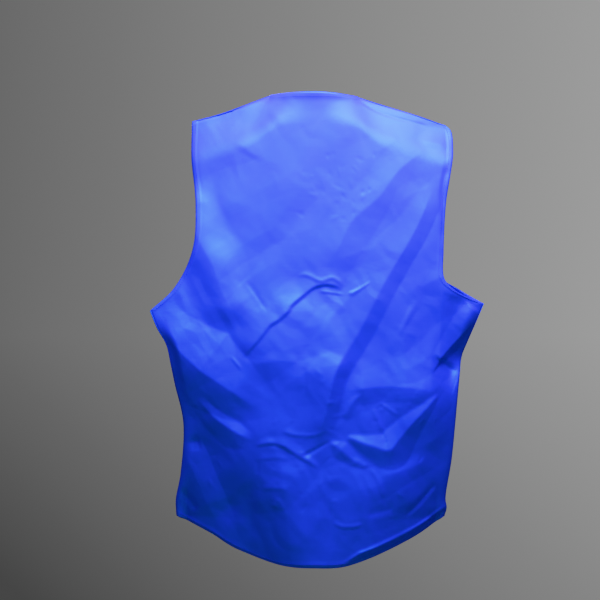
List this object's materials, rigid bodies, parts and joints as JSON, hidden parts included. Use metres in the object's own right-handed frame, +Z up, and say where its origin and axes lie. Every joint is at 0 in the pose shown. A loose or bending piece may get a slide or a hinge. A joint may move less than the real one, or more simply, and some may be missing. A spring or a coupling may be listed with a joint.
{
  "type": "vest",
  "caption": "Sleeveless hip-length satin vest with a V neck, buttoned front, deep armholes with pointed underarms and a rounded hem, folded as when worn.",
  "frame": {"origin": "in the middle of the neck opening, level with the neck ends of the two shoulder seams, where the vest sits on the shoulders", "axes": "+Z up from hem to neck, +Y out of the vest's back, +X towards the wearer's left"},
  "size_m": [0.474, 0.2218, 0.6695],
  "materials": {
    "blue_satin": "royal blue satin with a soft sheen",
    "button_blue": "dark blue, polished"
  },
  "bodies": {
    "root": {"back_panel": "blue_satin", "left_front_panel": "blue_satin", "right_front_panel": "blue_satin", "button_1": "button_blue", "button_2": "button_blue", "button_3": "button_blue", "button_4": "button_blue"}
  },
  "joints": []
}
